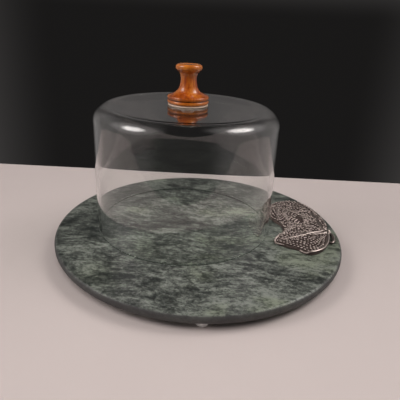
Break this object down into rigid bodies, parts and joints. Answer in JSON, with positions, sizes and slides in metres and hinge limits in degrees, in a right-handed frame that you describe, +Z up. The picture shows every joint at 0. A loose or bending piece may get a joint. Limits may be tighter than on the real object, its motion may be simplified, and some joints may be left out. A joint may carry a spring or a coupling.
{
  "type": "cheese dome",
  "caption": "Round green marble serving board on bumper feet, with a cast leaf ornament and a lift-off glass dome that has a screwed-on turned wooden knob.",
  "frame": {"origin": "the centre of the board's plan, on the surface that the feet stand on", "axes": "+Z up, +X from the dome towards the leaf ornament, -Y towards the front"},
  "size_m": [0.254, 0.254, 0.1554],
  "materials": {
    "marble": "green marble with pale clouding, honed top, worn sheen",
    "bumper": "clear soft bumper, slightly milky",
    "cast_metal": "antiqued casting, dark in the recesses, bright on raised edges",
    "glass": "clear blown glass with a fire-polished rim",
    "seal": "pale tan rubber, matt",
    "steel": "zinc-grey steel",
    "gasket": "translucent pale ring",
    "turned_wood": "orange-brown turned hardwood under gloss lacquer",
    "brass": "plain turned brass"
  },
  "bodies": {
    "board": {"marble_board": "marble", "foot_front": "bumper", "foot_right": "bumper", "foot_back": "bumper", "foot_left": "bumper", "leaf_ornament": "cast_metal"},
    "dome": {"glass_dome": "glass", "inner_seal": "seal", "steel_washer": "steel", "dome_screw": "steel"},
    "gasket": {"knob_gasket": "gasket"},
    "knob": {"knob": "turned_wood", "knob_insert": "brass"}
  },
  "joints": [
    {"name": "dome_lift", "type": "slide", "parent": "board", "child": "dome", "axis": [0, 0, 1], "range_m": [0, 0.16]},
    {"name": "knob_turn", "type": "hinge", "parent": "dome", "child": "gasket", "pos_m": [-0.0145, 0.0085, 0.1237], "axis": [0, 0, 1], "range_deg": [0, 4320]},
    {"name": "knob_rise", "type": "slide", "parent": "gasket", "child": "knob", "axis": [0, 0, 1], "range_m": [0, 0.01]}
  ],
  "couplings": [
    {"joint": "knob_rise", "follows": "knob_turn", "m_per_rad": 0.00012732}
  ]
}
